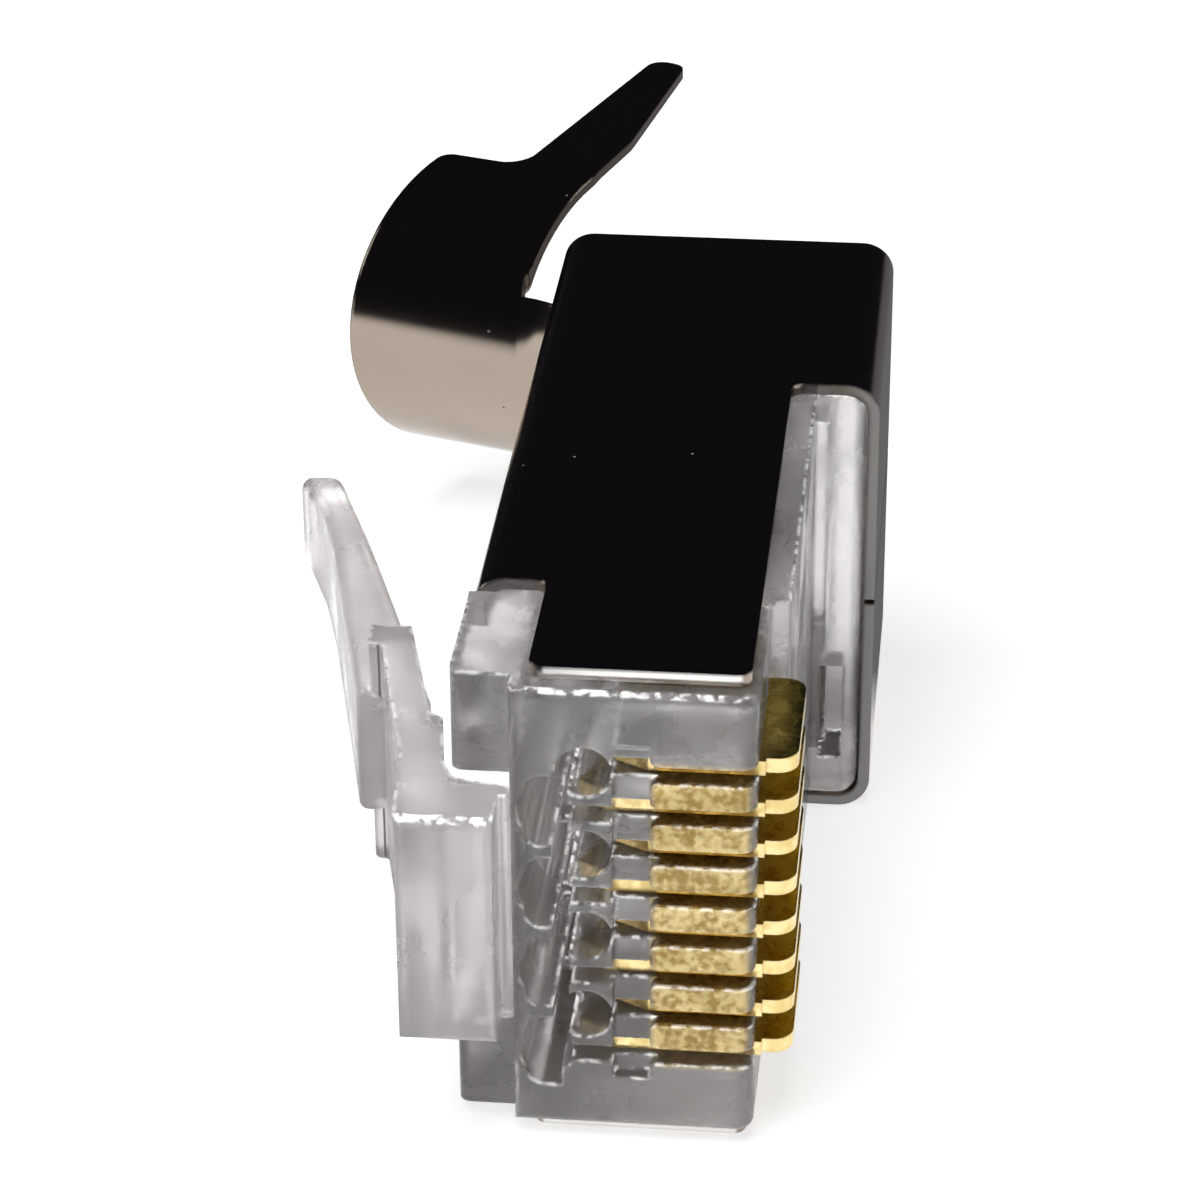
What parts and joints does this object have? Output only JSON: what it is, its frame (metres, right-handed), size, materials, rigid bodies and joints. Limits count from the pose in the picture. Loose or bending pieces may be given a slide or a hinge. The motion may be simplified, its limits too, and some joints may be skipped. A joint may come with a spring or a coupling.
{
  "type": "shielded modular plug",
  "caption": "Shielded feed-through modular plug with a clear body, gold blade contacts, a hinged latch and a folded metal shield ending in a curled cable clip.",
  "frame": {"origin": "middle of the nose's flat front face, where the plug enters the jack", "axes": "-Y towards the nose, +Y towards the cable, +X the contact side, -X the latch side, Z across the width; the plug lies on its lower side wall"},
  "size_m": [0.0152, 0.0402, 0.0116],
  "materials": {
    "clear_plastic": "clear polycarbonate, polished with lightly frosted edges",
    "plated_sheet": "bright nickel-plated sheet",
    "gold_plate": "gold-plated stamping"
  },
  "bodies": {
    "plug_body": {"housing": "clear_plastic", "shield": "plated_sheet", "contact_1": "gold_plate", "contact_2": "gold_plate", "contact_3": "gold_plate", "contact_4": "gold_plate", "contact_5": "gold_plate", "contact_6": "gold_plate", "contact_7": "gold_plate", "contact_8": "gold_plate"},
    "latch": {"latch_lever": "clear_plastic"}
  },
  "joints": [
    {"name": "latch_press", "type": "hinge", "parent": "plug_body", "child": "latch", "pos_m": [-0.00278, 0.0003, 0], "axis": [0, 0, -1], "range_deg": [0, 14], "stiffness_Nm_per_rad": 0.05}
  ]
}
